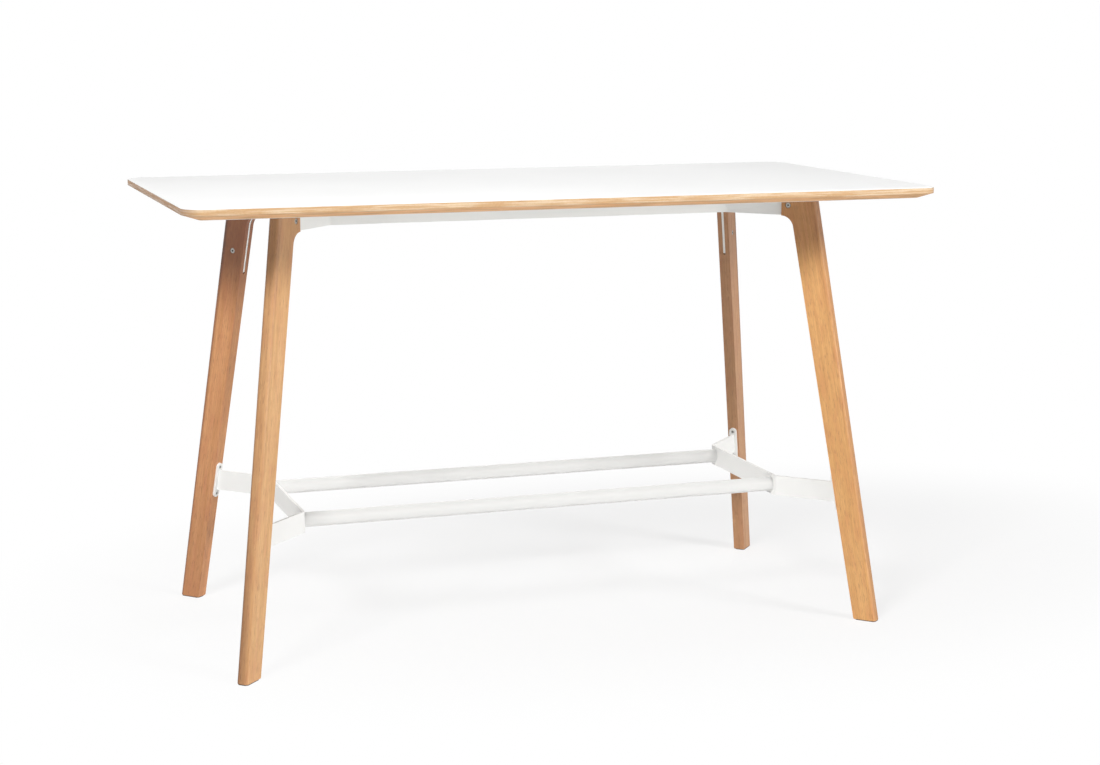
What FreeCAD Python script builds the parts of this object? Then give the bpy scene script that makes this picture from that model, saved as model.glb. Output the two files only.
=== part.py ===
import FreeCAD, Part
import math
import os

# High meeting table. Millimetres, +Z up, X along the length, Y across, front towards -Y.
# The origin is on the floor under the middle of the table.

# Table top: laminate on a plywood core, with a thin upright edge over a wide undercut bevel
TOP_LENGTH = 1794.0
TOP_WIDTH = 914.0
TABLE_HEIGHT = 1072.0
CORNER_RADIUS = 46.0
LAMINATE = 1.0
CORE = 25.0
UPRIGHT_EDGE = 12.5
BEVEL_INSET = 40.0
LAMINATE_ARRIS = 0.4

# Plank legs: the outer edge of each foot is at FOOT_X, FOOT_Y, and the plank points at the middle
FOOT_X = 791.0
FOOT_Y = 399.0
PLANK_ANGLE = 47.0
PLANK_THICKNESS = 30.0
FOOT_WIDTH = 57.0
OUTER_SLOPE = 0.176
INNER_SLOPE = 0.187
KNEE_RADIUS = 32.0
OUTER_ROUND = 9.0
FOOT_CHAMFER = 1.5

# Under-frame: flat bar on edge, bent towards the legs, with tongues let into the leg slots
BAR_THICKNESS = 6.0
RAIL_HEIGHT = 52.0
RAIL_BEND = 422.0
BEND_RADIUS = 12.0
TONGUE_END = 849.0
TONGUE_DEPTH = 43.0
TONGUE_RECESS = 0.5
SLOT_WIDTH = 6.4
SLOT_CLEARANCE = 4.0
CROSS_PLATE_WIDTH = 60.0
CROSS_PLATE_SPACING = 420.0
TAB_WIDTH = 32.0
TAB_LENGTH = 36.0
TAB_CHAMFER = 8.0
TAB_PLACE = 345.0

# Leg bolts, threaded into the tongues: places along the plank and heights
UPPER_BOLT = (252.0, 1018.0)
LOWER_BOLT = (194.0, 903.0)
BOLT_DIAMETER = 6.0
BOLT_CLEARANCE = 6.6
BOLT_HEAD = 12.6
BOLT_HEAD_HEIGHT = 2.8
COUNTERBORE = 14.4
COUNTERBORE_DEPTH = 4.8
BOLT_TIP = 4.0
SOCKET_ACROSS_FLATS = 4.0
SOCKET_DEPTH = 2.0

# Foot rail: bent brackets between the legs, joined by two tubes
FOOT_RAIL_HEIGHT = 315.0
BRACKET_HEIGHT = 50.0
BRACKET_X = 600.0
BRACKET_BEND_Y = 200.0
TUBE_DIAMETER = 35.0
TUBE_WALL = 2.0
TUBE_Y = 178.0

# Eared plates that hold the brackets on the inner edges of the legs
PLATE_LENGTH = 90.0
PLATE_WIDTH = 20.0
PLATE_THICKNESS = 5.0
PLATE_SCREW_DIAMETER = 4.5
PLATE_SCREW_HEAD = 9.0
PLATE_SCREW_NECK = 5.0
PLATE_SCREW_LENGTH = 35.0

# Screws up into the top, and glides under the feet
TOP_SCREW_DIAMETER = 4.5
TOP_SCREW_HEAD = 8.0
TOP_SCREW_HEAD_HEIGHT = 3.2
TOP_SCREW_LENGTH = 20.0
GLIDE_HEIGHT = 1.5
GLIDE_INSET = 1.5
GLIDE_CHAMFER = 5.0
GLIDE_PIN_DIAMETER = 4.0
GLIDE_PIN_LENGTH = 16.0

# Heights and places that follow from the sizes above
UNDERSIDE = TABLE_HEIGHT - 2 * LAMINATE - CORE
RAIL_BOTTOM = UNDERSIDE - RAIL_HEIGHT
KNEE_HEIGHT = RAIL_BOTTOM - TONGUE_RECESS
INNER_LENGTH = math.sqrt(1 + INNER_SLOPE ** 2)
KNEE_PLACE = FOOT_WIDTH + INNER_SLOPE * (KNEE_HEIGHT - KNEE_RADIUS) + KNEE_RADIUS * INNER_LENGTH
INNER_TILT = math.degrees(math.atan(INNER_SLOPE))
HALF_PLANK = PLANK_THICKNESS / 2
HALF_BAR = BAR_THICKNESS / 2
EAR_PLACE = (PLATE_LENGTH - PLATE_WIDTH) / 2
PAST = 200.0

CORNERS = {
    "front_left": (-1, -1),
    "front_right": (1, -1),
    "back_left": (-1, 1),
    "back_right": (1, 1),
}

Vector = FreeCAD.Vector


def outer_edge(height):
    """Distance of the plank's outer edge from the foot reference, measured inwards."""
    return OUTER_SLOPE * height


def inner_edge(height):
    """Distance of the plank's straight inner edge from the foot reference."""
    return FOOT_WIDTH + INNER_SLOPE * height


def plank_frame():
    """Frame of the back right plank: x inwards along the plank, y across it, z up."""
    turn = FreeCAD.Rotation(Vector(0, 0, 1), 180 + PLANK_ANGLE)
    return FreeCAD.Placement(Vector(FOOT_X, FOOT_Y, 0), turn)


def plate_frame():
    """Frame of the back right eared plate: x out of the wood, z up along the inner edge."""
    place = Vector(inner_edge(FOOT_RAIL_HEIGHT), 0, FOOT_RAIL_HEIGHT)
    lean = FreeCAD.Placement(place, FreeCAD.Rotation(Vector(0, 1, 0), INNER_TILT))
    return plank_frame().multiply(lean)


def placed(shape, frame):
    """Copy of a shape that was drawn in a local frame, put into the table's frame."""
    moved = shape.copy()
    moved.Placement = frame.multiply(moved.Placement)
    return moved


def at_corner(shape, corner):
    """Back right piece, mirrored to the named corner."""
    side, depth = CORNERS[corner]
    if side < 0:
        shape = shape.mirror(Vector(0, 0, 0), Vector(1, 0, 0))
    if depth < 0:
        shape = shape.mirror(Vector(0, 0, 0), Vector(0, 1, 0))
    return shape


def at_all_corners(shape):
    return [at_corner(shape, corner) for corner in CORNERS]


def regular_outline(sides, across_flats, height):
    """Closed regular polygon about the Z axis at one height."""
    radius = across_flats / 2 / math.cos(math.pi / sides)
    corners = []
    for step in range(sides):
        angle = math.pi * (2 * step + 1) / sides
        corners.append(Vector(radius * math.cos(angle), radius * math.sin(angle), height))
    return Part.makePolygon(corners + corners[:1])


def prism(sides, across_flats, length, start, direction):
    """Straight bar or hole with a regular outline, from a point along a direction."""
    bar = Part.Face(regular_outline(sides, across_flats, 0)).extrude(Vector(0, 0, length))
    bar.Placement = FreeCAD.Placement(start, FreeCAD.Rotation(Vector(0, 0, 1), direction))
    return bar


def shank(width, length, start, direction):
    """Hidden part of a fastener, and the hole it fills: eight-sided."""
    return prism(8, width, length, start, direction)


def plate_from(points, thickness):
    """Polygon in the XZ plane, given thickness about that plane."""
    corners = [Vector(x, -thickness / 2, z) for x, z in points]
    face = Part.Face(Part.makePolygon(corners + corners[:1]))
    return face.extrude(Vector(0, thickness, 0))


def rounded_rectangle(half_x, half_y, radius, height):
    """Closed outline of a rectangle with quarter-circle corners at one height."""
    edges = []
    diagonal = radius * math.sqrt(0.5)
    turns = ((1, 1), (-1, 1), (-1, -1), (1, -1))
    ends = []
    for side, depth in turns:
        middle = Vector(side * (half_x - radius), depth * (half_y - radius), height)
        along_x = middle + Vector(side * radius, 0, 0)
        along_y = middle + Vector(0, depth * radius, 0)
        crown = middle + Vector(side * diagonal, depth * diagonal, 0)
        first, last = (along_x, along_y) if side * depth > 0 else (along_y, along_x)
        ends.append((first, crown, last))
    for index, (first, crown, last) in enumerate(ends):
        edges.append(Part.Arc(first, crown, last).toShape())
        following = ends[(index + 1) % len(ends)][0]
        edges.append(Part.makeLine(last, following))
    return Part.Wire(edges)


def bent_bar(points, radius, height, bottom):
    """Flat bar on edge along a plan path whose corners are tangent bends."""
    edges = []
    start = points[0]
    for before, corner, after in zip(points, points[1:], points[2:]):
        to_before = (before - corner).normalize()
        to_after = (after - corner).normalize()
        half_angle = to_before.getAngle(to_after) / 2
        reach = radius / math.tan(half_angle)
        inwards = (to_before + to_after).normalize()
        centre = corner + inwards * (radius / math.sin(half_angle))
        first = corner + to_before * reach
        last = corner + to_after * reach
        edges.append(Part.makeLine(start, first))
        edges.append(Part.Arc(first, centre - inwards * radius, last).toShape())
        start = last
    edges.append(Part.makeLine(start, points[-1]))
    path = Part.Wire(edges)
    along = (points[1] - points[0]).normalize()
    across = Vector(-along.y, along.x, 0) * HALF_BAR
    foot = points[0] + Vector(0, 0, bottom)
    rise = Vector(0, 0, height)
    corners = [foot - across, foot + across, foot + across + rise, foot - across + rise]
    profile = Part.makePolygon(corners + corners[:1])
    return path.makePipeShell([profile], True, False)


def plan_point(distance, side=1):
    """Point of the back plank plane at a distance in from the foot, on the floor."""
    point = plank_frame().multVec(Vector(distance, 0, 0))
    return Vector(side * point.x, point.y, 0)


def top_core():
    """Plywood board: upright edge above, bevelled inwards below, drilled for the top screws."""
    half_x = TOP_LENGTH / 2
    half_y = TOP_WIDTH / 2
    top = TABLE_HEIGHT - LAMINATE
    edge = TABLE_HEIGHT - UPRIGHT_EDGE
    rim = Part.Face(rounded_rectangle(half_x, half_y, CORNER_RADIUS, edge))
    board = rim.extrude(Vector(0, 0, top - edge))
    board = board.fuse(bevel(edge, UNDERSIDE + LAMINATE)).removeSplitter()
    return board.cut(Part.makeCompound(top_screw_shanks()))


def bevel(upper, lower):
    """Part of the undercut bevel between two heights, as a ruled loft of two outlines."""
    drop = TABLE_HEIGHT - UPRIGHT_EDGE - UNDERSIDE
    outlines = []
    for height in (upper, lower):
        inset = BEVEL_INSET * (TABLE_HEIGHT - UPRIGHT_EDGE - height) / drop
        half_x = TOP_LENGTH / 2 - inset
        half_y = TOP_WIDTH / 2 - inset
        outlines.append(rounded_rectangle(half_x, half_y, CORNER_RADIUS - inset, height))
    return Part.makeLoft(outlines, True, True)


def top_laminate():
    """Laminate sheet on the core, with its upper arris eased."""
    outline = rounded_rectangle(TOP_LENGTH / 2, TOP_WIDTH / 2, CORNER_RADIUS, TABLE_HEIGHT - LAMINATE)
    sheet = Part.Face(outline).extrude(Vector(0, 0, LAMINATE))
    upper = [edge for edge in sheet.Edges if edge.BoundBox.ZMin > TABLE_HEIGHT - LAMINATE / 2]
    return sheet.makeChamfer(LAMINATE_ARRIS, upper)


def underside_laminate():
    """Balancing laminate, whose edge goes on with the slope of the bevel."""
    return bevel(UNDERSIDE + LAMINATE, UNDERSIDE).cut(Part.makeCompound(top_screw_shanks()))


def knee_centre():
    return Vector(KNEE_PLACE, 0, KNEE_HEIGHT - KNEE_RADIUS)


def knee_arc(radius):
    """Ends and middle of a concave arc about the knee centre, from the straight edge to the crown."""
    centre = knee_centre()
    to_edge = Vector(-1, 0, INNER_SLOPE).normalize()
    to_crown = Vector(0, 0, 1)
    to_middle = (to_edge + to_crown).normalize()
    return [centre + direction * radius for direction in (to_edge, to_middle, to_crown)]


def plank_outline():
    """Side view of the plank: splayed edges, knee with concave arc, level foot and top."""
    heel = Vector(outer_edge(GLIDE_HEIGHT), 0, GLIDE_HEIGHT)
    toe = Vector(inner_edge(GLIDE_HEIGHT), 0, GLIDE_HEIGHT)
    low, middle, crown = knee_arc(KNEE_RADIUS)
    inner_top = Vector(KNEE_PLACE, 0, UNDERSIDE)
    outer_top = Vector(outer_edge(UNDERSIDE), 0, UNDERSIDE)
    edges = [
        Part.makeLine(heel, toe),
        Part.makeLine(toe, low),
        Part.Arc(low, middle, crown).toShape(),
        Part.makeLine(crown, inner_top),
        Part.makeLine(inner_top, outer_top),
        Part.makeLine(outer_top, heel),
    ]
    return Part.Wire(edges)


def plank():
    """Solid plank: outer arrises well rounded, sole chamfered, inner arrises crisp."""
    face = Part.Face(plank_outline())
    face.translate(Vector(0, -HALF_PLANK, 0))
    solid = face.extrude(Vector(0, PLANK_THICKNESS, 0))
    boxes = [(edge, edge.BoundBox) for edge in solid.Edges]
    outer = [edge for edge, box in boxes if box.ZLength > KNEE_HEIGHT and box.XMin < FOOT_WIDTH / 2]
    solid = solid.makeFillet(OUTER_ROUND, outer)
    sole = [edge for edge in solid.Edges if max(end.Z for end in edge.Vertexes) < GLIDE_HEIGHT + 0.01]
    return solid.makeChamfer(FOOT_CHAMFER, sole)


def leg_slot():
    """Routed slot for the tongue: open at the top and the inner edge, round at its lower end."""
    half = SLOT_WIDTH / 2
    end = TONGUE_END - SLOT_CLEARANCE + half
    floor = TONGUE_DEPTH + SLOT_CLEARANCE
    above = UNDERSIDE + 1
    outside = KNEE_PLACE + 1
    points = [
        (inner_edge(end) - floor, end),
        (outside, end),
        (outside, above),
        (inner_edge(above) - floor, above),
    ]
    slab = plate_from(points, SLOT_WIDTH)
    start = Vector(inner_edge(end) - floor, 0, end)
    tool = Part.makeCylinder(half, outside - start.x, start, Vector(1, 0, 0))
    return slab.fuse(tool)


def bolt_holes():
    """Counterbored clearance holes: through one cheek, and a blind end in the other for the bolt's tip."""
    blind = HALF_BAR + BOLT_TIP + 1
    holes = []
    for (place, height), side in ((UPPER_BOLT, -1), (LOWER_BOLT, 1)):
        start = Vector(place, side * (HALF_PLANK + 1), height)
        inwards = Vector(0, -side, 0)
        holes.append(shank(BOLT_CLEARANCE, HALF_PLANK + 1 + blind, start, inwards))
        holes.append(Part.makeCylinder(COUNTERBORE / 2, COUNTERBORE_DEPTH + 1, start, inwards))
    return holes


def leg():
    """One back right leg: plank with tongue slot, bolt holes, plate-screw holes and pin hole."""
    wood = placed(plank(), plank_frame())
    local = bolt_holes() + [leg_slot(), glide_pin()]
    cuts = [placed(shape, plank_frame()) for shape in local]
    cuts += [placed(shape, plate_frame()) for shape in plate_screw_shanks()]
    return wood.cut(Part.makeCompound(cuts))


def tongue():
    """Flat tongue in the slot: it follows the knee and the inner edge just below the wood."""
    inner_low, inner_middle, inner_crown = knee_arc(KNEE_RADIUS + TONGUE_RECESS)
    recess = TONGUE_RECESS * INNER_LENGTH
    outer_top = Vector(inner_edge(UNDERSIDE) - TONGUE_DEPTH, 0, UNDERSIDE)
    outer_low = Vector(inner_edge(TONGUE_END) - TONGUE_DEPTH, 0, TONGUE_END)
    inner_end = Vector(inner_edge(TONGUE_END) - recess, 0, TONGUE_END)
    root_top = Vector(KNEE_PLACE, 0, UNDERSIDE)
    edges = [
        Part.makeLine(outer_top, outer_low),
        Part.makeLine(outer_low, inner_end),
        Part.makeLine(inner_end, inner_low),
        Part.Arc(inner_low, inner_middle, inner_crown).toShape(),
        Part.makeLine(inner_crown, root_top),
        Part.makeLine(root_top, outer_top),
    ]
    face = Part.Face(Part.Wire(edges))
    face.translate(Vector(0, -HALF_BAR, 0))
    plate = face.extrude(Vector(0, BAR_THICKNESS, 0))
    for place, height in (UPPER_BOLT, LOWER_BOLT):
        start = Vector(place, -BAR_THICKNESS, height)
        plate = plate.cut(shank(BOLT_DIAMETER, 2 * BAR_THICKNESS, start, Vector(0, 1, 0)))
    return placed(plate, plank_frame())


def back_rail():
    """Under-frame rail: straight bar, two bends, and a tongue at each end."""
    points = [
        plan_point(KNEE_PLACE),
        plan_point(RAIL_BEND),
        plan_point(RAIL_BEND, -1),
        plan_point(KNEE_PLACE, -1),
    ]
    bar = bent_bar(points, BEND_RADIUS, RAIL_HEIGHT, RAIL_BOTTOM)
    tongues = [tongue(), at_corner(tongue(), "back_left")]
    return bar.fuse(tongues).removeSplitter()


def cross_plate_holes():
    """Screw places on the cross plates, as x, y."""
    reach = plan_point(RAIL_BEND).y / 2
    places = (-CROSS_PLATE_SPACING, 0, CROSS_PLATE_SPACING)
    return [(x, side * reach) for x in places for side in (-1, 1)]


def tab_hole():
    """Screw place on the back right fixing tab."""
    local = Vector(TAB_PLACE, HALF_BAR + TAB_LENGTH - TAB_WIDTH / 2, 0)
    return plank_frame().multVec(local)


def top_screw_places():
    hole = tab_hole()
    tabs = [(side * hole.x, depth * hole.y) for side, depth in CORNERS.values()]
    return cross_plate_holes() + tabs


def along_top_screws(sides, width, length, direction):
    """Straight bars from the lower face of the plates and tabs, one at each screw place."""
    bottom = UNDERSIDE - BAR_THICKNESS
    places = [Vector(x, y, bottom) for x, y in top_screw_places()]
    return [prism(sides, width, length, place, direction) for place in places]


def top_screw_shanks():
    return along_top_screws(8, TOP_SCREW_DIAMETER, TOP_SCREW_LENGTH, Vector(0, 0, 1))


def top_screws():
    """Hexagon-headed wood screws up through the cross plates and tabs into the core."""
    heads = along_top_screws(6, TOP_SCREW_HEAD, TOP_SCREW_HEAD_HEIGHT, Vector(0, 0, -1))
    return [head.fuse(stem).removeSplitter() for head, stem in zip(heads, top_screw_shanks())]


def cross_plate(place):
    """Flat plate welded between the rails, flush with their upper edges."""
    half = plan_point(RAIL_BEND).y - HALF_BAR
    corner = Vector(place - CROSS_PLATE_WIDTH / 2, -half, UNDERSIDE - BAR_THICKNESS)
    plate = Part.makeBox(CROSS_PLATE_WIDTH, 2 * half, BAR_THICKNESS, corner)
    return plate.cut(Part.makeCompound(top_screw_shanks()))


def fixing_tab():
    """Back right lug with its free corners cut off, welded on the hidden face of the rail's wing."""
    half = TAB_WIDTH / 2
    end = HALF_BAR + TAB_LENGTH
    outline = [
        (-half, HALF_BAR),
        (-half, end - TAB_CHAMFER),
        (TAB_CHAMFER - half, end),
        (half - TAB_CHAMFER, end),
        (half, end - TAB_CHAMFER),
        (half, HALF_BAR),
    ]
    corners = [Vector(TAB_PLACE + x, y, UNDERSIDE - BAR_THICKNESS) for x, y in outline]
    lug = Part.Face(Part.makePolygon(corners + corners[:1])).extrude(Vector(0, 0, BAR_THICKNESS))
    return placed(lug, plank_frame()).cut(Part.makeCompound(top_screw_shanks()))


def leg_bolt(place, height, side):
    """Furniture bolt sunk in one cheek of the plank: flat head, hexagon socket, plain shank."""
    depth = HALF_PLANK - COUNTERBORE_DEPTH
    seat = Vector(place, side * depth, height)
    outwards = Vector(0, side, 0)
    head = Part.makeCylinder(BOLT_HEAD / 2, BOLT_HEAD_HEIGHT, seat, outwards)
    face = seat + outwards * BOLT_HEAD_HEIGHT
    stem = shank(BOLT_DIAMETER, depth + HALF_BAR + BOLT_TIP, seat, outwards * -1)
    socket = prism(6, SOCKET_ACROSS_FLATS, SOCKET_DEPTH, face, outwards * -1)
    return placed(head.fuse(stem).cut(socket).removeSplitter(), plank_frame())


def foot_bracket():
    """Right bracket of the foot rail: flat bar bent towards both legs, trimmed to the eared plates."""
    plate = plate_frame().multVec(Vector(0, 0, 0))
    bend = Vector(BRACKET_X, BRACKET_BEND_Y, 0)
    wing_end = Vector(plate.x, plate.y, 0)
    wing_end = wing_end + (wing_end - bend).normalize() * BRACKET_HEIGHT / 2
    mirror = [Vector(point.x, -point.y, 0) for point in (bend, wing_end)]
    points = [wing_end, bend, mirror[0], mirror[1]]
    bar = bent_bar(points, BEND_RADIUS, BRACKET_HEIGHT, FOOT_RAIL_HEIGHT - BRACKET_HEIGHT / 2)
    wood_side = Part.makeBox(PAST, PAST, PAST, Vector(PLATE_THICKNESS - PAST, -PAST / 2, -PAST / 2))
    wood_side = placed(wood_side, plate_frame())
    return bar.cut([wood_side, at_corner(wood_side, "front_right")])


def foot_tube(depth):
    """Round tube between the brackets, butted on their inner faces."""
    start = Vector(HALF_BAR - BRACKET_X, depth, FOOT_RAIL_HEIGHT)
    length = 2 * BRACKET_X - BAR_THICKNESS
    outer = Part.makeCylinder(TUBE_DIAMETER / 2, length, start, Vector(1, 0, 0))
    bore = Part.makeCylinder(TUBE_DIAMETER / 2 - TUBE_WALL, length, start, Vector(1, 0, 0))
    return outer.cut(bore)


def plate_screw_head():
    """Countersunk head, a sixteen-sided taper whose face lies flush with the eared plate."""
    drop = (PLATE_SCREW_HEAD - PLATE_SCREW_NECK) / 2
    start = Vector(PLATE_THICKNESS - drop, 0, 0)
    outlines = [regular_outline(16, PLATE_SCREW_NECK, 0), regular_outline(16, PLATE_SCREW_HEAD, drop)]
    head = Part.makeLoft(outlines, True, True)
    head.Placement = FreeCAD.Placement(start, FreeCAD.Rotation(Vector(0, 0, 1), Vector(1, 0, 0)))
    return head


def at_ears(shape):
    """Copies of a shape at both ears of the plate, in the plate's frame."""
    copies = []
    for side in (-1, 1):
        copy = shape.copy()
        copy.translate(Vector(0, 0, side * EAR_PLACE))
        copies.append(copy)
    return copies


def plate_screw_shanks():
    start = Vector(PLATE_THICKNESS - PLATE_SCREW_LENGTH, 0, 0)
    return at_ears(shank(PLATE_SCREW_DIAMETER, PLATE_SCREW_LENGTH, start, Vector(1, 0, 0)))


def leg_plate():
    """Back right eared plate: round ends, and a countersunk hole in each ear."""
    half = PLATE_WIDTH / 2
    rise = Vector(0, 0, EAR_PLACE)
    left = Vector(0, -half, 0)
    right = Vector(0, half, 0)
    crown = Vector(0, 0, PLATE_LENGTH / 2)
    outline = Part.Wire([
        Part.makeLine(left - rise, left + rise),
        Part.Arc(left + rise, crown, right + rise).toShape(),
        Part.makeLine(right + rise, right - rise),
        Part.Arc(right - rise, crown * -1, left - rise).toShape(),
    ])
    plate = Part.Face(outline).extrude(Vector(PLATE_THICKNESS, 0, 0))
    holes = plate_screw_shanks() + at_ears(plate_screw_head())
    return placed(plate.cut(Part.makeCompound(holes)), plate_frame())


def leg_plate_screws():
    """Both countersunk screws of the back right plate."""
    screws = []
    for head, stem in zip(at_ears(plate_screw_head()), plate_screw_shanks()):
        screws.append(placed(head.fuse(stem).removeSplitter(), plate_frame()))
    return screws


def glide_pin():
    """Upright pin that holds a glide in the foot."""
    start = Vector(FOOT_WIDTH / 2, 0, GLIDE_HEIGHT)
    return shank(GLIDE_PIN_DIAMETER, GLIDE_PIN_LENGTH, start, Vector(0, 0, 1))


def glide():
    """Back right glide: thin pad with cut corners just inside the foot's outline, with its pin."""
    start = outer_edge(GLIDE_HEIGHT) + GLIDE_INSET
    length = inner_edge(GLIDE_HEIGHT) - GLIDE_INSET - start
    width = PLANK_THICKNESS - 2 * GLIDE_INSET
    pad = Part.makeBox(length, width, GLIDE_HEIGHT, Vector(start, -width / 2, 0))
    upright = [edge for edge in pad.Edges if edge.BoundBox.ZLength > GLIDE_HEIGHT / 2]
    pad = pad.makeChamfer(GLIDE_CHAMFER, upright)
    return placed(pad.fuse(glide_pin()).removeSplitter(), plank_frame())


def all_nodes():
    """Every node of the table, by name, as a list of solids."""
    right_bracket = foot_bracket()
    rail = back_rail()
    nodes = {
        "top_laminate": [top_laminate()],
        "top_core": [top_core()],
        "underside_laminate": [underside_laminate()],
        "back_rail": [rail],
        "front_rail": [rail.mirror(Vector(0, 0, 0), Vector(0, 1, 0))],
        "cross_plate_left": [cross_plate(-CROSS_PLATE_SPACING)],
        "cross_plate_centre": [cross_plate(0)],
        "cross_plate_right": [cross_plate(CROSS_PLATE_SPACING)],
        "top_screws": top_screws(),
        "upper_leg_bolts": at_all_corners(leg_bolt(*UPPER_BOLT, -1)),
        "lower_leg_bolts": at_all_corners(leg_bolt(*LOWER_BOLT, 1)),
        "foot_bracket_right": [right_bracket],
        "foot_bracket_left": [right_bracket.mirror(Vector(0, 0, 0), Vector(1, 0, 0))],
        "foot_tube_front": [foot_tube(-TUBE_Y)],
        "foot_tube_back": [foot_tube(TUBE_Y)],
        "leg_plate_screws": [copy for screw in leg_plate_screws() for copy in at_all_corners(screw)],
    }
    cornered = {"leg": leg(), "fixing_tab": fixing_tab(), "leg_plate": leg_plate(), "glide": glide()}
    for name, shape in cornered.items():
        for corner in CORNERS:
            nodes[name + "_" + corner] = [at_corner(shape, corner)]
    return nodes


os.makedirs("parts", exist_ok=True)
for node, shapes in all_nodes().items():
    solids = [solid for shape in shapes for solid in shape.Solids]
    whole = solids[0] if len(solids) == 1 else Part.makeCompound(solids)
    whole.exportStep("parts/" + node + ".step")
    box = whole.BoundBox
    state = "valid" if whole.isValid() else "NOT VALID"
    print(node, len(solids), "solids,", state, "volume %.0f" % whole.Volume,
          "x %.1f to %.1f" % (box.XMin, box.XMax), "y %.1f to %.1f" % (box.YMin, box.YMax),
          "z %.1f to %.1f" % (box.ZMin, box.ZMax))
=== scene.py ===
import math

import bpy
import numpy as np
from mathutils import Matrix, Vector


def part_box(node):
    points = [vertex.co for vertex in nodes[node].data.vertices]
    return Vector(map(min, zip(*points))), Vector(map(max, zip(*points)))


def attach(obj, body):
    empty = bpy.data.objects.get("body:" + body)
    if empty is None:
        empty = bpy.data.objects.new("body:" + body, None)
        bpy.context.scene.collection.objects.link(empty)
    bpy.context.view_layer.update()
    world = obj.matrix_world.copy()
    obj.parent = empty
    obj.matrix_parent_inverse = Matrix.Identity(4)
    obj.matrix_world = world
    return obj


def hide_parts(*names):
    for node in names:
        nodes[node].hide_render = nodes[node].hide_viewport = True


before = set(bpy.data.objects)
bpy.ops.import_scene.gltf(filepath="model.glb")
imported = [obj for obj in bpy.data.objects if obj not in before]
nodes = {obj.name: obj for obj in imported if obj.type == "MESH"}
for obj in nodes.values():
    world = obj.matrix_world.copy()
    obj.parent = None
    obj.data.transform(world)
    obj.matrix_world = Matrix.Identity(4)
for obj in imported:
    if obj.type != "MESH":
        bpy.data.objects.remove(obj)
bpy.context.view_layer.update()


# White laminate surface. A one-millimetre sheet of matt white laminate, bonded to the plywood
# and trimmed flush with its upright edge. Its upper arris is eased by hand with fine paper.

sheet_low, sheet_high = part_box("top_laminate")
TOP_HALF_LENGTH, TOP_HALF_WIDTH, TOP_HEIGHT = sheet_high
SHEET = TOP_HEIGHT - sheet_low.z
TOP_CORNER = 0.046
EASE = 0.0004
EASE_MIDDLE = EASE * 0.3
LAMINATE_WHITE = (0.94, 0.94, 0.935, 1.0)
LAMINATE_EDGE = (0.56, 0.49, 0.41, 1.0)
LAMINATE_CLOUD = 0.985


def plan_rings(insets, heights, corner_steps=24):
    """Rounded-rectangle outlines of the table top, one above the other.

    Each ring is the plan outline moved inwards by its inset: four quarter circles whose radius
    shrinks by the inset about fixed centres, joined by straight runs, at one height.
    """
    quarter = np.linspace(0.0, math.pi / 2, corner_steps)
    angle = np.concatenate([quarter + math.pi / 2 * turn for turn in range(4)])
    centre_x = np.repeat(np.array([1, -1, -1, 1]) * (TOP_HALF_LENGTH - TOP_CORNER), corner_steps)
    centre_y = np.repeat(np.array([1, 1, -1, -1]) * (TOP_HALF_WIDTH - TOP_CORNER), corner_steps)
    radius = TOP_CORNER - np.asarray(insets)[:, None]
    ring_x = centre_x + radius * np.cos(angle)
    ring_y = centre_y + radius * np.sin(angle)
    ring_z = np.broadcast_to(np.asarray(heights)[:, None], ring_x.shape)
    return np.stack([ring_x, ring_y, ring_z], axis=-1)


def skin(name, *grids, sharp=35.0):
    """One object of closed skins: quads between neighbouring rings, flat caps on both ends.

    Each grid is (ring, point, xyz). Rings close on themselves, and edges sharper than the given
    angle stay crisp while the rest is shaded smooth.
    """
    faces = []
    first = 0
    for rings, points, _ in (grid.shape for grid in grids):
        index = first + np.arange(rings * points).reshape(rings, points)
        following = np.roll(index, -1, axis=1)
        quads = np.stack([index[:-1], following[:-1], following[1:], index[1:]], axis=-1).reshape(-1, 4)
        faces += quads.tolist() + [index[0, ::-1].tolist(), index[-1].tolist()]
        first += rings * points
    mesh = bpy.data.meshes.new(name)
    mesh.from_pydata(np.concatenate([grid.reshape(-1, 3) for grid in grids]).tolist(), [], faces)
    mesh.polygons.foreach_set("use_smooth", np.ones(len(mesh.polygons), bool))
    mesh.set_sharp_from_angle(angle=math.radians(sharp))
    mesh.update()
    piece = bpy.data.objects.new(name, mesh)
    bpy.context.scene.collection.objects.link(piece)
    return piece


def stand_for(piece, slot, material, *cad_names):
    """Puts a made piece in place of CAD nodes, on the table's one body, with its finish."""
    piece.data.materials.append(material)
    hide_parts(*cad_names)
    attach(piece, "root")


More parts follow.
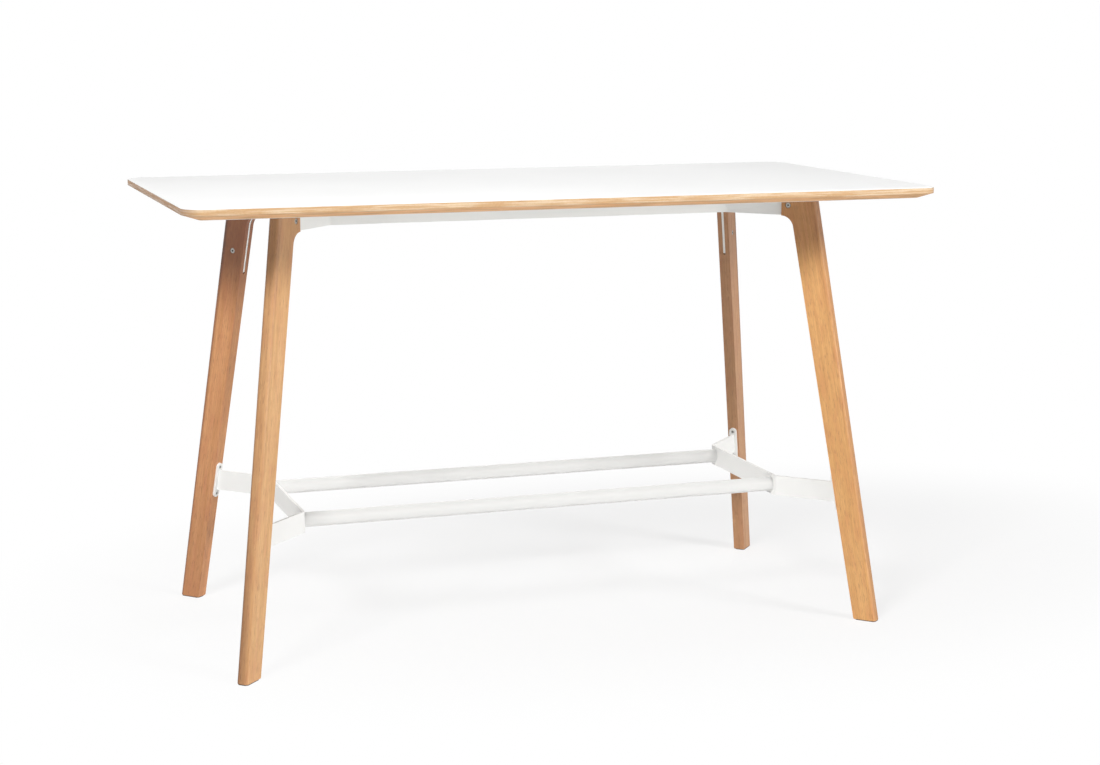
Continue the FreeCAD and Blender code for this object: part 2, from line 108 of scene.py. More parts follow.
class Finish:
    """A node material: short calls for the few node kinds that the finishes here use."""

    def __init__(self, name):
        self.material = bpy.data.materials.new(name)
        self.material.use_nodes = True
        self.tree = self.material.node_tree
        self.shader = self.tree.nodes["Principled BSDF"]

    def node(self, kind, **settings):
        """A new node with its settings."""
        made = self.tree.nodes.new(kind)
        for name, value in settings.items():
            setattr(made, name, value)
        return made

    def feed(self, socket, value):
        """A link where the value is another node's output, and a set number otherwise."""
        if isinstance(value, bpy.types.NodeSocket):
            self.tree.links.new(value, socket)
        else:
            socket.default_value = value

    def place(self, move=(0, 0, 0), turn=(0, 0, 0), stretch=(1, 1, 1), kind="TEXTURE"):
        """Object coordinates, moved, turned and stretched."""
        source = self.node("ShaderNodeTexCoord").outputs["Object"]
        mapping = self.node("ShaderNodeMapping", vector_type=kind)
        mapping.inputs["Location"].default_value = move
        mapping.inputs["Rotation"].default_value = turn
        mapping.inputs["Scale"].default_value = stretch
        self.feed(mapping.inputs["Vector"], source)
        return mapping.outputs["Vector"]

    def stretch(self, vector, factors):
        """A vector multiplied part by part."""
        made = self.node("ShaderNodeVectorMath", operation="MULTIPLY")
        self.feed(made.inputs[0], vector)
        made.inputs[1].default_value = factors
        return made.outputs[0]

    def size_of(self, vector):
        """A vector with every part made positive."""
        made = self.node("ShaderNodeVectorMath", operation="ABSOLUTE")
        self.feed(made.inputs[0], vector)
        return made.outputs[0]

    def noise(self, vector, scale, detail=3.0, rough=0.5):
        """Even noise, with so many cells in a metre."""
        made = self.node("ShaderNodeTexNoise")
        self.feed(made.inputs["Vector"], vector)
        made.inputs["Scale"].default_value = scale
        made.inputs["Detail"].default_value = detail
        made.inputs["Roughness"].default_value = rough
        return made.outputs["Fac"]

    def grain(self, vector, cells, detail=2.0, rough=0.5):
        """Noise drawn out unevenly, with so many cells in a metre each way."""
        return self.noise(self.stretch(vector, cells), 1.0, detail, rough)

    def math(self, operation, first, second=0.0, third=0.0):
        """One sum on up to three values."""
        made = self.node("ShaderNodeMath", operation=operation)
        for socket, value in zip(made.inputs, (first, second, third)):
            self.feed(socket, value)
        return made.outputs[0]

    def span(self, value, low, high, to_low=0.0, to_high=1.0):
        """A value taken from one range to another, held at both ends."""
        made = self.node("ShaderNodeMapRange", interpolation_type="SMOOTHSTEP")
        for name, number in zip(("Value", "From Min", "From Max", "To Min", "To Max"),
                                (value, low, high, to_low, to_high)):
            self.feed(made.inputs[name], number)
        return made.outputs["Result"]

    def parts(self, vector):
        """A vector's three parts."""
        split = self.node("ShaderNodeSeparateXYZ")
        self.feed(split.inputs[0], vector)
        return split.outputs

    def mix(self, share, first, second, blend="MIX"):
        """Colours mixed by a share."""
        made = self.node("ShaderNodeMix", data_type="RGBA", blend_type=blend)
        sockets = [socket for socket in made.inputs if socket.enabled]
        self.feed(sockets[0], share)
        self.feed(sockets[1], first)
        self.feed(sockets[2], second)
        return [socket for socket in made.outputs if socket.enabled][0]

    def bump(self, height, strength, distance):
        """Small relief on the surface."""
        made = self.node("ShaderNodeBump")
        made.inputs["Strength"].default_value = strength
        made.inputs["Distance"].default_value = distance
        self.feed(made.inputs["Height"], height)
        self.feed(self.shader.inputs["Normal"], made.outputs["Normal"])

    def set(self, **values):
        """Values or outputs for the shader's sockets, with _ for a space in a socket's name."""
        for name, value in values.items():
            self.feed(self.shader.inputs[name.replace("_", " ")], value)


def laminate_finish(name, colour, cloud_share, edge_below):
    """Matt laminate: faint cloudiness in the white, a fine pressed texture, roughness that drifts.

    The clouds have the given share of the colour's brightness. Below the given height the sheet's
    cut edge shows its beige paper core.
    """
    finish = Finish(name)
    place = finish.place()
    cloud = finish.noise(place, 3.0, 4.0)
    grain = finish.noise(place, 900.0, 2.0)
    tint = tuple(channel * cloud_share for channel in colour[:3]) + (1.0,)
    sheet = finish.mix(finish.span(cloud, 0.3, 0.75), colour, tint)
    cut_edge = finish.span(finish.parts(place)["Z"], edge_below - 0.0002, edge_below, 1.0, 0.0)
    finish.set(Base_Color=finish.mix(cut_edge, sheet, LAMINATE_EDGE))
    finish.set(Roughness=finish.span(cloud, 0.25, 0.75, 0.56, 0.66))
    finish.bump(grain, 0.12, 0.0002)
    return finish.material


sheet_insets = [0.0, 0.0, EASE_MIDDLE, EASE]
sheet_heights = [TOP_HEIGHT - SHEET, TOP_HEIGHT - EASE, TOP_HEIGHT - EASE_MIDDLE, TOP_HEIGHT]
laminate = skin("white_laminate_sheet", plan_rings(sheet_insets, sheet_heights))
laminate_white = laminate_finish("white_laminate", LAMINATE_WHITE, LAMINATE_CLOUD, TOP_HEIGHT - EASE)
stand_for(laminate, "white_laminate", laminate_white, "top_laminate")


# Plywood core. Birch plies of about a millimetre and a half, grain along and across by turns.
# The edge is cut upright for a finger's width, then undercut to a wide shallow bevel, and lacquered.

CORE_TOP = TOP_HEIGHT - SHEET
CORE_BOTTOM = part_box("top_core")[0].z
UPRIGHT = 0.0135
TURN = CORE_TOP - UPRIGHT
SOFT_TURN = 0.0006
BEVEL_IN = TOP_HALF_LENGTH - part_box("underside_laminate")[1].x
PLY = 0.0015
PLY_SWAY = 0.0007
PLY_LONG = (0.70, 0.545, 0.375, 1.0)
PLY_CROSS = (0.545, 0.330, 0.165, 1.0)
PLY_WARM = (0.85, 0.470, 0.225, 1.0)
PLY_DARK = (0.30, 0.150, 0.070, 1.0)
END_LINE = TOP_HALF_LENGTH - TOP_HALF_WIDTH
END_BLUR = 0.03
END_GRAIN = (0.87, 0.87, 1.0, 1.0)
PLY_WANDER = (2.0, 2.0, 30.0)
PLY_ALONG = (7.0, 7.0, 210.0)
PLY_ACROSS = (220.0, 220.0, 330.0)
PLY_CLOUDS = (9.0, 9.0, 260.0)
PLY_MARKS = (17.0, 17.0, 420.0)


def plywood_finish():
    """Layers by height: even plies run along the table, odd ones across, each with its own streaks.

    A ply's long grain is noise drawn out along its run; cut across, the same grain shows as specks.
    Thin dark adhesive lines lie between plies, the widest under the laminate; painted shade makes
    a dark line at the turn of the bevel; a few short dark marks run along the veneer, and the two
    ends, where most plies show their end grain, are duller.
    """
    finish = Finish("plywood_edge")
    place = finish.place()
    height = finish.parts(place)["Z"]
    wander = finish.grain(place, PLY_WANDER)
    layer = finish.math("DIVIDE", finish.math("MULTIPLY_ADD", wander, PLY_SWAY, height), PLY)
    odd = finish.math("ROUND", finish.math("FRACT", finish.math("MULTIPLY", layer, 0.5)))
    along = finish.grain(place, PLY_ALONG, 4.0, 0.6)
    across = finish.grain(place, PLY_ACROSS, 4.0, 0.62)
    cloud = finish.grain(place, PLY_CLOUDS)
    long_ply = finish.mix(finish.span(along, 0.43, 0.58), PLY_LONG, PLY_CROSS)
    cross_ply = finish.mix(finish.span(across, 0.35, 0.72), PLY_LONG, PLY_CROSS)
    wood = finish.mix(finish.math("MULTIPLY", odd, 0.45), long_ply, cross_ply)
    wood = finish.mix(finish.span(height, TURN - 0.0008, TURN, 0.75, 0.0), wood, PLY_WARM)
    wood = finish.mix(finish.span(cloud, 0.46, 0.62, 0.0, 0.70), wood, PLY_CROSS)
    edge_of_ply = finish.math("ABSOLUTE", finish.math("SUBTRACT", finish.math("FRACT", layer), 0.5))
    glue_and_turn_shade = finish.span(edge_of_ply, 0.40, 0.5, 0.0, 0.45)
    under_sheet = finish.span(height, CORE_TOP - 0.0014, CORE_TOP - 0.0004, 0.0, 0.22)
    # Painted shade: a dark line along the turn from the upright edge to the bevel.
    off_turn = finish.math("ABSOLUTE", finish.math("SUBTRACT", height, TURN + SOFT_TURN))
    turn_shade = finish.span(off_turn, 0.0002, 0.0020, 0.24, 0.0)
    glue_and_turn_shade = finish.math("MAXIMUM", glue_and_turn_shade, finish.math("MAXIMUM", under_sheet, turn_shade))
    wood = finish.mix(glue_and_turn_shade, wood, PLY_DARK)
    mark = finish.grain(place, PLY_MARKS, 1.0)
    wood = finish.mix(finish.span(mark, 0.72, 0.79, 0.0, 0.80), wood, PLY_DARK)
    x, y, _ = finish.parts(finish.size_of(place))
    at_end = finish.span(finish.math("SUBTRACT", x, y), END_LINE - END_BLUR, END_LINE + END_BLUR)
    wood = finish.mix(at_end, wood, END_GRAIN, "MULTIPLY")
    finish.set(Base_Color=wood, Roughness=finish.span(along, 0.3, 0.8, 0.62, 0.76))
    finish.set(Specular_IOR_Level=0.15)
    finish.bump(finish.math("SUBTRACT", along, finish.math("MULTIPLY", glue_and_turn_shade, 0.8)), 0.25, 0.0004)
    return finish.material


# The turn from the upright edge to the bevel is softened by a short parabola.
soft = np.linspace(-0.5, 0.5, 5)
turn_insets = SOFT_TURN * (soft + 0.5) ** 2 * BEVEL_IN / (TURN - CORE_BOTTOM)
turn_heights = TURN - SOFT_TURN * soft
core_insets = np.concatenate([[BEVEL_IN], turn_insets[::-1], [0.0]])
core_heights = np.concatenate([[CORE_BOTTOM], turn_heights[::-1], [CORE_TOP]])
core = skin("plywood_core", plan_rings(core_insets, core_heights), sharp=50.0)
stand_for(core, "plywood", plywood_finish(), "top_core")


# Balancing laminate. An off-white sheet on the underside, so that the board stays flat;
# its edge carries on down the slope of the bevel.

BEVEL_FOOT = 0.040
BALANCING_WHITE = (0.80, 0.79, 0.76, 1.0)
BALANCING_CLOUD = 0.94
balancing_rings = plan_rings([BEVEL_FOOT, BEVEL_IN], [CORE_BOTTOM - SHEET, CORE_BOTTOM])
underside = skin("balancing_sheet", balancing_rings)
balancing_white = laminate_finish("balancing_laminate", BALANCING_WHITE, BALANCING_CLOUD, 0.0)
stand_for(underside, "balancing_laminate", balancing_white, "underside_laminate")


# Oak legs. Planks of solid oak, thirty millimetres thick, stood diagonally and splayed; the outer
# arrises are rounded over, the inner edge is slotted for the steel tongue, and the wood is oiled.

PLANK_TURN = math.radians(47.0)
FOOT = (0.791, 0.399)
LEAN = 0.1815
INNER_SLOPE = 0.187
RING = 0.0046
RING_SWAY = 0.034
RING_RIPPLE = 0.0034
OAK_LIGHT = (0.72, 0.430, 0.185)
OAK_MID = (0.55, 0.290, 0.098)
OAK_RED = (0.58, 0.275, 0.112)
OAK_DARK = (0.24, 0.100, 0.032)
# The three tones below are painted shade multiplied into the oak: along the rounded outer edge, on the
# end cheek's arris, and towards the foot and the top of the leg.
EDGE_SHADE_TONE = (0.64, 0.55, 0.46, 1.0)
ARRIS_SHADE_TONE = (0.48, 0.40, 0.34, 1.0)
DEEP_SHADE_TONE = (0.48, 0.36, 0.27, 1.0)
BENDS = (6.0, 6.0, 1.6)
RIPPLES = (40.0, 40.0, 5.0)
STREAKS = (150.0, 150.0, 3.5)
FLECKS = (330.0, 330.0, 38.0)
PORES = (1100.0, 1100.0, 60.0)
DRIFTS = (12.0, 12.0, 2.2)
BLUSHES = (60.0, 60.0, 14.0)
RAYS = (240.0, 60.0, 34.0)
# tone_and_shade is partly each plank's own colour and partly painted shade for how the light falls on
# that leg; the back right's bluer cast is painted sheen. knee_shade and foot_shade_share place painted
# shade.
LEGS = {
    "front_left": dict(side=-1, depth=-1, heart=(0.20, 0.13), tone_and_shade=(1.01, 1.01, 1.08),
                       knee_shade=(0.82, 1.00, 0.46), foot_shade_share=0.60),
    "front_right": dict(side=1, depth=-1, heart=(0.24, 0.09), tone_and_shade=(1.02, 0.935, 0.79),
                        knee_shade=(0.87, 1.00, 0.64), foot_shade_share=0.12),
    "back_left": dict(side=-1, depth=1, heart=(-0.16, 0.15), tone_and_shade=(0.89, 0.725, 0.70),
                      knee_shade=(0.70, 0.95, 1.00), foot_shade_share=0.26),
    "back_right": dict(side=1, depth=1, heart=(0.18, -0.12), tone_and_shade=(0.71, 0.64, 0.71),
                       knee_shade=(0.55, 0.85, 0.25), foot_shade_share=0.0),
}


def oak_finish(corner, side, depth, heart, tone_and_shade, knee_shade, foot_shade_share):
    """Sawn oak: growth rings about a heart line beside the plank, pores, rays and slow colour drift.

    The plank's own directions are width, thickness and length. Rings are the distance from the
    heart line, bent by slow noise, in steps of a few millimetres; pores are short dark flecks drawn
    out along the length, thickest where a ring begins; the tone drifts between straw and red-brown.
    Painted shade darkens the wood towards the top of the leg, standing in for the top's shadow,
    and, on the end side, towards the foot, and it darkens the rounded outer edge, its arris on the
    end cheek most. Heart is where the heart line lies across and through the plank; knee_shade is
    where the painted shade at the top of the leg begins and ends, and its share; foot_shade_share is
    the share of painted shade near the foot; tone_and_shade is a colour factor for each leg, partly
    the plank's own colour and partly painted shade for how the light falls on that leg.
    """
    inwards = Vector((-side * math.cos(PLANK_TURN), -depth * math.sin(PLANK_TURN), 0))
    length_way = Vector((inwards.x * LEAN, inwards.y * LEAN, 1)).normalized()
    width_way = (inwards - length_way * inwards.dot(length_way)).normalized()
    through = length_way.cross(width_way)
    turn = Matrix((width_way, through, length_way)).transposed().to_euler()
    light, mid, red, dark = (tuple(np.multiply(tone, tone_and_shade)) + (1.0,)
                             for tone in (OAK_LIGHT, OAK_MID, OAK_RED, OAK_DARK))
    finish = Finish("oiled_oak_" + corner)
    place = finish.place((side * FOOT[0], depth * FOOT[1], 0), turn)
    width, thick, length = finish.parts(place)
    off_width = finish.math("SUBTRACT", width, heart[0])
    off_thick = finish.math("SUBTRACT", thick, heart[1])
    squares = finish.math("ADD", finish.math("MULTIPLY", off_width, off_width),
                          finish.math("MULTIPLY", off_thick, off_thick))
    radius = finish.math("SQRT", squares)
    radius = finish.math("MULTIPLY_ADD", finish.grain(place, BENDS), RING_SWAY, radius)
    radius = finish.math("MULTIPLY_ADD", finish.grain(place, RIPPLES), RING_RIPPLE, radius)
    ring = finish.math("FRACT", finish.math("DIVIDE", radius, RING))
    late = finish.span(ring, 0.10, 0.95)
    streak = finish.grain(place, STREAKS, 5.0, 0.66)
    fleck = finish.grain(place, FLECKS, 3.0, 0.6)
    pore = finish.grain(place, PORES)
    drift = finish.grain(place, DRIFTS, 3.0)
    blush = finish.grain(place, BLUSHES)
    ray = finish.grain(place, RAYS, 1.0)
    wood = finish.mix(finish.math("MULTIPLY", late, 0.45), light, mid)
    wood = finish.mix(finish.span(drift, 0.32, 0.70, 0.0, 0.55), wood, mid)
    wood = finish.mix(finish.span(blush, 0.42, 0.66, 0.0, 0.60), wood, red)
    wood = finish.mix(finish.span(streak, 0.40, 0.66, 0.0, 0.75), wood, mid)
    early = finish.span(ring, 0.0, 0.45, 1.0, 0.35)
    flecks = finish.math("MULTIPLY", finish.span(fleck, 0.53, 0.66), early)
    pores = finish.math("MULTIPLY", finish.span(pore, 0.58, 0.70), early)
    wood = finish.mix(finish.math("MULTIPLY", flecks, 0.68), wood, dark)
    wood = finish.mix(finish.math("MULTIPLY", pores, 0.62), wood, dark)
    wood = finish.mix(finish.span(ray, 0.66, 0.74, 0.0, 0.45), wood, light)
    # Painted shade along the rounded outer edge.
    wood = finish.mix(finish.span(width, 0.0, 0.010, 0.68, 0.0), wood, EDGE_SHADE_TONE, "MULTIPLY")
    # Painted shade on the arris of the end cheek.
    towards_end = finish.math("MULTIPLY", thick, side * depth)
    end_arris_shade = finish.math("MULTIPLY", finish.span(towards_end, 0.005, 0.013),
                            finish.span(width, 0.002, 0.012, 0.75, 0.0))
    wood = finish.mix(end_arris_shade, wood, ARRIS_SHADE_TONE, "MULTIPLY")
    # Painted shade on the end side towards the foot.
    end_side = finish.span(towards_end, -0.015, 0.007)
    foot_shade = finish.math("MULTIPLY", end_side, finish.span(length, 0.10, 0.50, foot_shade_share, 0.0))
    wood = finish.mix(foot_shade, wood, DEEP_SHADE_TONE, "MULTIPLY")
    # Painted shade towards the top of the leg, standing in for the top's shadow.
    begins, ends, deepest = knee_shade
    wood = finish.mix(finish.span(length, begins, ends, 0.0, deepest), wood, DEEP_SHADE_TONE, "MULTIPLY")
    finish.set(Base_Color=wood, Roughness=finish.span(streak, 0.3, 0.8, 0.46, 0.58))
    finish.set(Specular_IOR_Level=0.8)
    finish.bump(finish.math("SUBTRACT", streak, finish.math("ADD", flecks, pores)), 0.25, 0.0004)
    return finish.material


def dress(node_name, material):
    """Gives a CAD node its finish and leaves its mesh alone."""
    materials = nodes[node_name].data.materials
    materials.clear()
    materials.append(material)


for corner, leg in LEGS.items():
    dress("leg_" + corner, oak_finish(corner, **leg))


# White steel frame. Rails of flat bar, laser-cut and bent, with tongues that run into the leg slots;
# cross plates and tabs welded on for the top's screws; all powder-coated satin white.

COAT_WHITE = (0.82, 0.82, 0.805, 1.0)
COAT_GLOSS = 0.3
COAT_CHALK = 0.2


def powder_coat_finish(name, colour, gloss, chalk, shade_bands=()):
    """Powder coat: an orange-peel skin of two grain sizes, with a faint drift in tone and gloss.

    Chalk is how dusty the skin is: it evens out the shading of a round piece. shade_bands lists
    painted shade: colours that the upper side is darkened to, each with the two heights between
    which it comes in.
    """
    finish = Finish(name)
    place = finish.place()
    peel = finish.noise(place, 700.0, 2.0)
    swell = finish.noise(place, 160.0, 2.0)
    drift = finish.noise(place, 5.0, 3.0)
    tint = tuple(channel * 0.97 for channel in colour[:3]) + (1.0,)
    skin_colour = finish.mix(finish.span(drift, 0.3, 0.7), colour, tint)
    # Painted shade bands by height.
    for shade_colour, low, high in shade_bands:
        skin_colour = finish.mix(finish.span(finish.parts(place)["Z"], low, high), skin_colour, shade_colour)
    finish.set(Base_Color=skin_colour, Roughness=finish.span(drift, 0.3, 0.7, 0.54, 0.64))
    finish.set(Specular_IOR_Level=gloss, Diffuse_Roughness=chalk)
    finish.bump(finish.math("MULTIPLY_ADD", peel, 0.6, swell), 0.09, 0.0003)
    return finish.material


coat = powder_coat_finish("white_powder_coat", COAT_WHITE, COAT_GLOSS, COAT_CHALK)
coated = ["front_rail", "back_rail", "cross_plate_left", "cross_plate_centre", "cross_plate_right",
          "foot_bracket_left", "foot_bracket_right"]
coated += [group + corner for group in ("fixing_tab_", "leg_plate_") for corner in LEGS]
for name in coated:
    dress(name, coat)


# Fasteners. Nickel-plated bolts sunk in the legs' cheeks, zinc-plated countersunk screws in the eared
# plates, both with a hexagon socket, and hexagon-headed screws under the top.

PLANK_HALF = 0.015
FOOT_WIDTH = 0.057
RAIL_LEVEL = 0.315
PLATE = 0.005
EAR_REACH = 0.035
BOLT_SINK = 0.0048
BOLTS = {"upper_leg_bolts": (0.252, 1.018, -1), "lower_leg_bolts": (0.194, 0.903, 1)}
BOLT_PROFILE = [(2.3, -17.2), (3.0, -16.5), (3.0, 0.0), (6.1, 0.0), (6.3, 0.25), (6.3, 3.6),
                (6.2, 4.0), (5.95, 4.3), (5.5, 4.48), (5.0, 4.5), (2.75, 4.5)]
SCREW_PROFILE = [(0.4, -35.0), (2.2, -30.0), (2.2, -2.6), (2.5, -2.05), (4.3, -0.3), (4.45, -0.12),
                 (4.3, -0.02), (3.9, 0.0), (2.3, 0.0)]
BOLT_SOCKET = (4.6, 2.0)
SCREW_SOCKET = (3.6, 1.6)
AROUND = 48
SOCKET_DEPTHS = (0.35, 0.8, 1.0, 1.0)
SOCKET_SHADE = (0.018, 0.016, 0.015, 1.0)
NICKEL = (0.48, 0.46, 0.43, 1.0)
ZINC = (0.52, 0.51, 0.48, 1.0)


def socket_head(profile, socket, seat, outwards):
    """A turned fastener about an axis, ending in a hexagon socket.

    The profile gives radius and height in millimetres, from the tip to the face, and the socket is
    its width across flats and its depth. The socket's wall follows the polar equation of a hexagon:
    half the width across flats over the cosine of the angle from the middle of the nearest flat.
    """
    across_flats, depth = socket
    axis = np.array(outwards)
    first = np.cross((0.0, 0.0, 1.0), axis)
    first = first / np.linalg.norm(first)
    second = np.cross(axis, first)
    angle = np.linspace(0.0, 2 * math.pi, AROUND, endpoint=False)
    flat = (angle + math.pi / 6) % (math.pi / 3) - math.pi / 6
    hexagon = across_flats / 2 / np.cos(flat)
    face = profile[-1][1]
    radius = [np.full(AROUND, ring_radius) for ring_radius, _ in profile]
    radius += [hexagon * 1.03, hexagon, hexagon, hexagon * 0.9]
    height = [ring_height for _, ring_height in profile]
    height += [face, face - 0.15, face - depth, face - depth - 0.1]
    radius = np.array(radius)[:, :, None] / 1000.0
    height = np.array(height)[:, None, None] / 1000.0
    spokes = np.cos(angle)[:, None] * first + np.sin(angle)[:, None] * second
    return np.array(seat) + radius * spokes + height * axis


def mark_sockets(piece, profile):
    """Point values that say how deep in the socket a point lies, for the painted shade there."""
    ring = np.concatenate([np.zeros(len(profile)), SOCKET_DEPTHS])
    copies = len(piece.data.vertices) // (len(ring) * AROUND)
    values = np.tile(np.repeat(ring, AROUND), copies)
    piece.data.attributes.new("sunk", "FLOAT", "POINT").data.foreach_set("value", values)


def plated_finish(name, colour, rough):
    """Plated steel: metal with turning marks, a little dulling, and painted shade in the sockets."""
    finish = Finish(name)
    place = finish.place()
    marks = finish.noise(place, 1500.0, 3.0)
    dull = finish.noise(place, 220.0, 3.0)
    dark = tuple(channel * 0.72 for channel in colour[:3]) + (1.0,)
    sunk = finish.node("ShaderNodeAttribute", attribute_name="sunk").outputs["Fac"]
    metal = finish.mix(finish.span(dull, 0.35, 0.7), colour, dark)
    # Painted shade: the socket's inside is made dark and not metallic.
    finish.set(Base_Color=finish.mix(sunk, metal, SOCKET_SHADE))
    finish.set(Metallic=finish.math("MULTIPLY_ADD", sunk, -0.9, 1.0))
    finish.set(Roughness=finish.span(marks, 0.3, 0.7, rough, rough + 0.12))
    finish.bump(marks, 0.1, 0.0001)
    return finish.material


nickel = plated_finish("nickel_plate", NICKEL, 0.32)
zinc = plated_finish("zinc_plate", ZINC, 0.36)
dress("top_screws", zinc)

bolt_grids = {name: [] for name in BOLTS}
screw_grids = []
for leg in LEGS.values():
    side, depth = leg["side"], leg["depth"]
    foot = np.array([side * FOOT[0], depth * FOOT[1], 0.0])
    inwards = np.array([-side * math.cos(PLANK_TURN), -depth * math.sin(PLANK_TURN), 0.0])
    across = np.array([side * math.sin(PLANK_TURN), -depth * math.cos(PLANK_TURN), 0.0])
    for name, (reach, height, cheek) in BOLTS.items():
        seat = foot + inwards * reach + across * cheek * (PLANK_HALF - BOLT_SINK) + (0.0, 0.0, height)
        bolt_grids[name].append(socket_head(BOLT_PROFILE, BOLT_SOCKET, seat, across * cheek))
    face_out = inwards - np.array([0.0, 0.0, INNER_SLOPE])
    face_out = face_out / np.linalg.norm(face_out)
    face_up = inwards * INNER_SLOPE + np.array([0.0, 0.0, 1.0])
    face_up = face_up / np.linalg.norm(face_up)
    plate_middle = foot + inwards * (FOOT_WIDTH + INNER_SLOPE * RAIL_LEVEL) + (0.0, 0.0, RAIL_LEVEL)
    for ear in (-EAR_REACH, EAR_REACH):
        seat = plate_middle + face_out * PLATE + face_up * ear
        screw_grids.append(socket_head(SCREW_PROFILE, SCREW_SOCKET, seat, face_out))

for name, grids in bolt_grids.items():
    bolts = skin("sunk_" + name, *grids, sharp=40.0)
    mark_sockets(bolts, BOLT_PROFILE)
    stand_for(bolts, "bolt_steel", nickel, name)
screws = skin("countersunk_screws", *screw_grids, sharp=40.0)
mark_sockets(screws, SCREW_PROFILE)
stand_for(screws, "zinc_steel", zinc, "leg_plate_screws")


# Foot-rail tubes. Round steel tube between the end brackets, butted and welded all round, and
# coated white with them. Painted shade darkens the upper side and painted light lifts the underside.

TUBE_RADIUS = 0.0175
TUBE_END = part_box("foot_tube_front")[1].x
TUBE_DEPTH = 0.178
TUBE_GLOSS = 0.03
TUBE_CHALK = 1.0
BEAD = 0.0014
# The tube's white is lighter than the frame's coat, as painted light on the underside; the two after it
# are painted shade on the upper side and its crown.
TUBE_WHITE = (0.86, 0.86, 0.85, 1.0)
TUBE_PAINTED_SHADE = (0.70, 0.70, 0.69, 1.0)
TUBE_CROWN_SHADE = (0.62, 0.62, 0.61, 1.0)


def tube_rings(depth, around=64):
    """Tube along X: circles whose radius swells to a small weld bead at both ends.

    The bead is a quarter-cosine rise over its own width, so it runs out smoothly along the tube.
    """
    ramp = np.linspace(0.0, 1.0, 7)
    ends = TUBE_END - 2 * BEAD * (1.0 - ramp)
    swell = BEAD * (1.0 - np.cos(ramp * math.pi / 2))
    along = np.concatenate([-ends[::-1], ends])
    radius = TUBE_RADIUS + np.concatenate([swell[::-1], swell])
    angle = np.linspace(0.0, 2 * math.pi, around, endpoint=False)
    ring_x = np.broadcast_to(along[:, None], (len(along), around))
    ring_y = depth + radius[:, None] * np.cos(angle)
    ring_z = RAIL_LEVEL + radius[:, None] * np.sin(angle)
    return np.stack([ring_x, ring_y, ring_z], axis=-1)


# Painted shade: the coat darkens from the tube's middle upwards, most on its crown.
shade_bands = [(TUBE_PAINTED_SHADE, RAIL_LEVEL - TUBE_RADIUS, RAIL_LEVEL),
         (TUBE_CROWN_SHADE, RAIL_LEVEL + TUBE_RADIUS * 0.3, RAIL_LEVEL + TUBE_RADIUS)]
tube_coat = powder_coat_finish("white_tube_coat", TUBE_WHITE, TUBE_GLOSS, TUBE_CHALK, shade_bands)
for side_name, depth in (("front", -TUBE_DEPTH), ("back", TUBE_DEPTH)):
    tube = skin("foot_rail_tube_" + side_name, tube_rings(depth))
    stand_for(tube, "white_powder_coat", tube_coat, "foot_tube_" + side_name)


# Glides. Thin pads of dark moulded plastic, each held by a pin that is pressed into the foot's
# end grain.

PAD_DARK = (0.030, 0.028, 0.026, 1.0)
PAD_WORN = (0.07, 0.065, 0.06, 1.0)


def glide_finish():
    """Dark moulded plastic with a fine spark texture."""
    finish = Finish("dark_glide_plastic")
    place = finish.place()
    spark = finish.noise(place, 1200.0, 2.0)
    wear = finish.noise(place, 120.0, 3.0)
    finish.set(Base_Color=finish.mix(finish.span(wear, 0.4, 0.7), PAD_DARK, PAD_WORN))
    finish.set(Roughness=finish.span(spark, 0.3, 0.7, 0.5, 0.65))
    finish.bump(spark, 0.2, 0.0002)
    return finish.material


pad_plastic = glide_finish()
for corner in LEGS:
    dress("glide_" + corner, pad_plastic)


# Floor. A pale matt studio floor, which isn't part of the table. It takes the table's soft shadow
# and fades into white.

FLOOR_REACH = 9.0
FLOOR_BOUNCE = (0.90, 0.90, 0.90, 1.0)
FLOOR_SEEN = (0.82, 0.82, 0.82, 1.0)
SHADE_MIDDLE = (0.50, 0.28, 0.0)
SHADE_STRETCH = (1.5, 1.0, 1.0)
floor_mesh = bpy.data.meshes.new("studio_floor")
floor_corners = np.array([(-1, -1, 0), (1, -1, 0), (1, 1, 0), (-1, 1, 0)]) * FLOOR_REACH
floor_mesh.from_pydata(floor_corners.tolist(), [], [(0, 1, 2, 3)])
floor = bpy.data.objects.new("studio_floor", floor_mesh)
bpy.context.scene.collection.objects.link(floor)


def floor_finish():
    """Matt white near the table, and plain white light towards the rim for what the camera sees."""
    finish = Finish("studio_floor")
    finish.set(Roughness=0.9, Specular_IOR_Level=0.0)
    glow = finish.node("ShaderNodeEmission")
    far = finish.node("ShaderNodeVectorMath", operation="LENGTH")
    finish.feed(far.inputs[0], finish.place(SHADE_MIDDLE, stretch=SHADE_STRETCH))
    path = finish.node("ShaderNodeLightPath")
    seen = finish.math("MAXIMUM", path.outputs["Is Camera Ray"], path.outputs["Is Glossy Ray"])
    seen = finish.math("MAXIMUM", seen, path.outputs["Is Transmission Ray"])
    finish.set(Base_Color=finish.mix(seen, FLOOR_BOUNCE, FLOOR_SEEN))
    share = finish.math("MULTIPLY", finish.span(far.outputs["Value"], 0.40, 1.32, 0.72, 1.0), seen)
    blend = finish.node("ShaderNodeMixShader")
    finish.feed(blend.inputs[0], share)
    finish.feed(blend.inputs[1], finish.shader.outputs[0])
    finish.feed(blend.inputs[2], glow.outputs[0])
    finish.feed(finish.tree.nodes["Material Output"].inputs["Surface"], blend.outputs[0])
    return finish.material


floor.data.materials.append(floor_finish())


# Studio light. A soft box at the front left throws the floor shadows to the right and back; two at
# the front right, the lower one reaching under the top, fill in, with weak ones overhead and low
# behind, and an even white surround.

TABLE_MIDDLE = (0.0, 0.0, 0.7)
WHITE = (1.0, 1.0, 1.0, 1.0)
SURROUND_LIGHT = 0.08


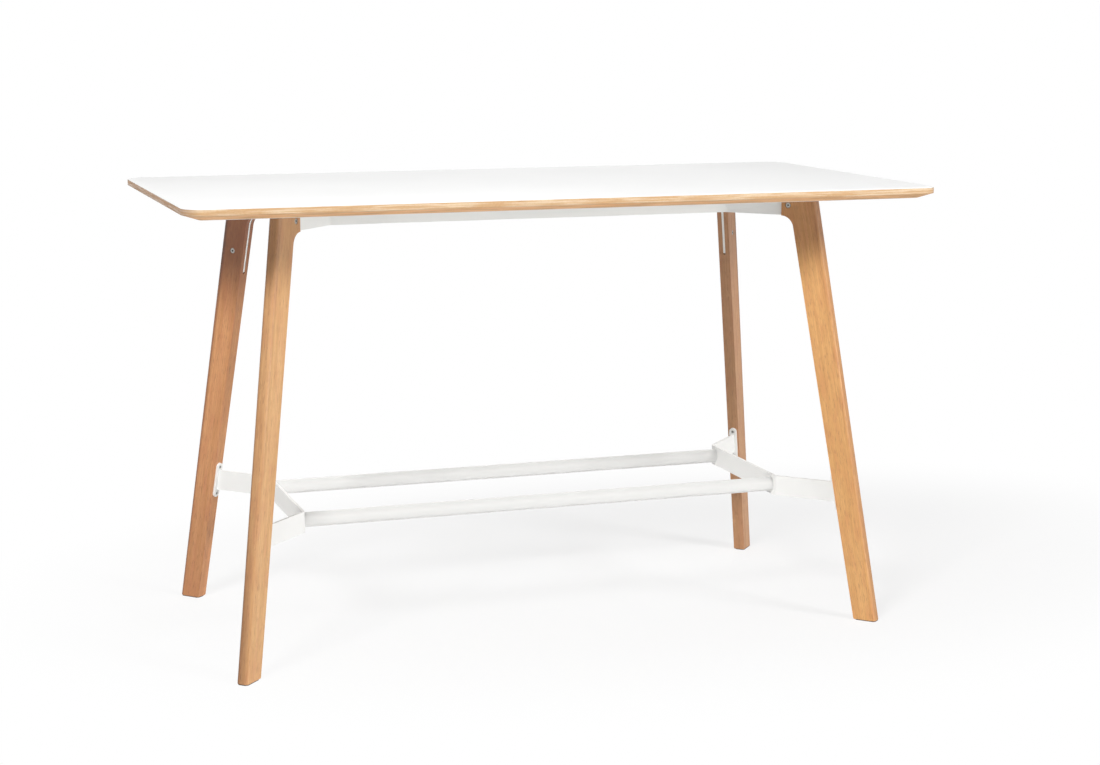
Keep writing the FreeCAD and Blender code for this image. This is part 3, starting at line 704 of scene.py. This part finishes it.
def soft_box(name, place, size, power, target=TABLE_MIDDLE):
    """Rectangular area lamp that faces a point, with its size in metres and its power in watts."""
    lamp = bpy.data.lights.new(name, "AREA")
    lamp.shape = "RECTANGLE"
    lamp.size, lamp.size_y = size
    lamp.energy = power
    holder = bpy.data.objects.new(name, lamp)
    holder.location = place
    holder.rotation_euler = (Vector(target) - Vector(place)).to_track_quat("-Z", "Y").to_euler()
    bpy.context.scene.collection.objects.link(holder)


soft_box("front_left_box", (-6.24, -6.56, 7.18), (2.9, 2.6), 890.0)
soft_box("front_right_box", (5.6, -6.9, 6.2), (2.6, 2.2), 520.0)
soft_box("low_right_box", (5.6, -6.9, 1.2), (2.6, 1.8), 215.0)
soft_box("overhead_box", (0.2, 1.5, 3.0), (2.6, 1.2), 20.0, target=(0.1, 0.4, 0.7))
soft_box("back_box", (0.5, 7.0, 0.55), (5.0, 0.8), 110.0, target=(0.0, 0.0, 0.55))

surround = bpy.data.worlds.new("white_surround")
bpy.context.scene.world = surround
surround.use_nodes = True
sky = surround.node_tree
sky_light = sky.nodes["Background"]
sky_light.inputs["Color"].default_value = WHITE
sky_light.inputs["Strength"].default_value = SURROUND_LIGHT
sky_seen = sky.nodes.new("ShaderNodeBackground")
sky_seen.inputs["Color"].default_value = WHITE
sky_path = sky.nodes.new("ShaderNodeLightPath")
sky_near = sky.nodes.new("ShaderNodeMath")
sky_near.operation = "MAXIMUM"
sky.links.new(sky_path.outputs["Is Camera Ray"], sky_near.inputs[0])
sky.links.new(sky_path.outputs["Is Glossy Ray"], sky_near.inputs[1])
sky_any = sky.nodes.new("ShaderNodeMath")
sky_any.operation = "MAXIMUM"
sky.links.new(sky_near.outputs[0], sky_any.inputs[0])
sky.links.new(sky_path.outputs["Is Transmission Ray"], sky_any.inputs[1])
sky_mix = sky.nodes.new("ShaderNodeMixShader")
sky.links.new(sky_any.outputs[0], sky_mix.inputs[0])
sky.links.new(sky_light.outputs[0], sky_mix.inputs[1])
sky.links.new(sky_seen.outputs[0], sky_mix.inputs[2])
sky.links.new(sky_mix.outputs[0], sky.nodes["World Output"].inputs["Surface"])


# Camera. It stands at eye height in front of the table, to the left of its middle, and looks down
# a little through a short tele lens.

CAMERA_PLACE = (-1.60468, -4.93940, 1.49254)
CAMERA_DOWN = 10.00248
CAMERA_RIGHT = 18.75386
LENS = 69.5843
camera = bpy.data.cameras.new("studio_camera")
camera.sensor_fit = "HORIZONTAL"
camera.sensor_width = 36.0
camera.lens = LENS
camera.dof.use_dof = False
stand = bpy.data.objects.new("studio_camera", camera)
stand.location = CAMERA_PLACE
stand.rotation_euler = (math.radians(90.0 - CAMERA_DOWN), 0.0, math.radians(-CAMERA_RIGHT))
bpy.context.scene.collection.objects.link(stand)
bpy.context.scene.camera = stand
bpy.context.scene.view_settings.view_transform = "Standard"
